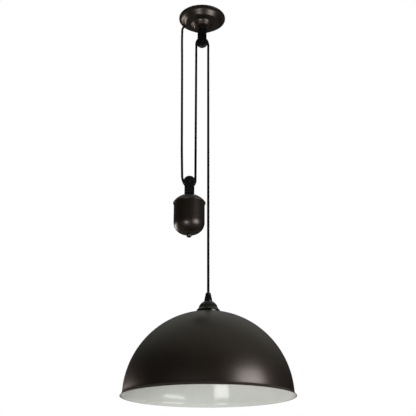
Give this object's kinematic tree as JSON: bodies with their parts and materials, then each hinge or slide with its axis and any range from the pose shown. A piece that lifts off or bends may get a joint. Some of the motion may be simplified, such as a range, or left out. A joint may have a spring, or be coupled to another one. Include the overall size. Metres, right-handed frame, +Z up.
{
  "type": "rise and fall pendant",
  "caption": "Rise and fall pendant: an enamelled dome shade on a braided flex over sheaves, held at any height by an urn-shaped counterweight under a ceiling rose.",
  "frame": {"origin": "the ceiling, midway between the two fixing slots of the ceiling bracket, on the axis of the hanging stud", "axes": "+Z up, out of the ceiling plane; +X across the sheaves towards the lamp's flex; +Y away from the heads of the axle screws"},
  "size_m": [0.3999, 0.4, 1.019],
  "materials": {
    "steel": "satin",
    "bronze_paint": "satin",
    "white_enamel": "gloss",
    "black_paint": "satin",
    "sheave_nylon": "satin",
    "phenolic": "gloss",
    "white_nylon": "satin",
    "brass": "satin",
    "porcelain": "gloss",
    "cast_iron": "matte",
    "braid": "matte",
    "wire_live": "satin",
    "wire_neutral": "satin",
    "wire_earth": "satin"
  },
  "bodies": {
    "ceiling_set": {"ceiling_bracket": "steel", "hanging_stud": "steel", "stud_nuts": "steel", "rose": "bronze_paint", "rose_nut": "black_paint", "flex_gland": "phenolic", "terminal_block": "white_nylon", "terminal_screws": "brass", "earth_screw": "brass", "rose_flex_tail": "braid", "rose_wire_live": "wire_live", "rose_wire_neutral": "wire_neutral", "rose_wire_earth": "wire_earth", "upper_yoke": "black_paint", "upper_axle": "black_paint", "upper_axle_nut": "black_paint", "flex_fixed_run": "braid", "flex_middle_run": "braid", "flex_upper_bend": "braid", "flex_lamp_run": "braid"},
    "upper_sheave": {"upper_sheave": "sheave_nylon"},
    "counterweight": {"flex_weight_bend": "braid", "weight_yoke": "black_paint", "weight_axle": "black_paint", "weight_axle_nut": "black_paint", "weight_lid": "bronze_paint", "weight_shell": "bronze_paint", "weight_ballast": "cast_iron", "weight_rod": "steel", "weight_rod_nut": "steel", "weight_cap_nut": "bronze_paint"},
    "weight_sheave": {"weight_sheave": "sheave_nylon"},
    "lamp": {"cord_grip": "phenolic", "grip_collet": "white_nylon", "lamp_flex_tail": "braid", "holder_cap": "phenolic", "holder_skirt": "phenolic", "shade_ring": "phenolic", "shade": "bronze_paint", "holder_insert": "porcelain", "screw_shell": "brass", "centre_contact": "brass", "holder_terminals": "brass", "holder_wire_live": "wire_live", "holder_wire_neutral": "wire_neutral"}
  },
  "joints": [
    {"name": "lamp_height", "type": "slide", "parent": "ceiling_set", "child": "lamp", "axis": [0, 0, 1], "range_m": [-0.48, 0.1], "deforming": ["flex_lamp_run"]},
    {"name": "counterweight_travel", "type": "slide", "parent": "ceiling_set", "child": "counterweight", "axis": [0, 0, 1], "range_m": [-0.05, 0.24], "deforming": ["flex_fixed_run", "flex_middle_run"]},
    {"name": "upper_sheave_spin", "type": "hinge", "parent": "ceiling_set", "child": "upper_sheave", "pos_m": [0, 0, -0.077], "axis": [0, 1, 0], "continuous": true},
    {"name": "weight_sheave_spin", "type": "hinge", "parent": "counterweight", "child": "weight_sheave", "pos_m": [-0.0304, 0, -0.4885], "axis": [0, 1, 0], "continuous": true}
  ],
  "couplings": [
    {"joint": "counterweight_travel", "follows": "lamp_height", "ratio": -0.5},
    {"joint": "upper_sheave_spin", "follows": "lamp_height", "rad_per_m": -71.429},
    {"joint": "weight_sheave_spin", "follows": "lamp_height", "rad_per_m": 35.714}
  ]
}
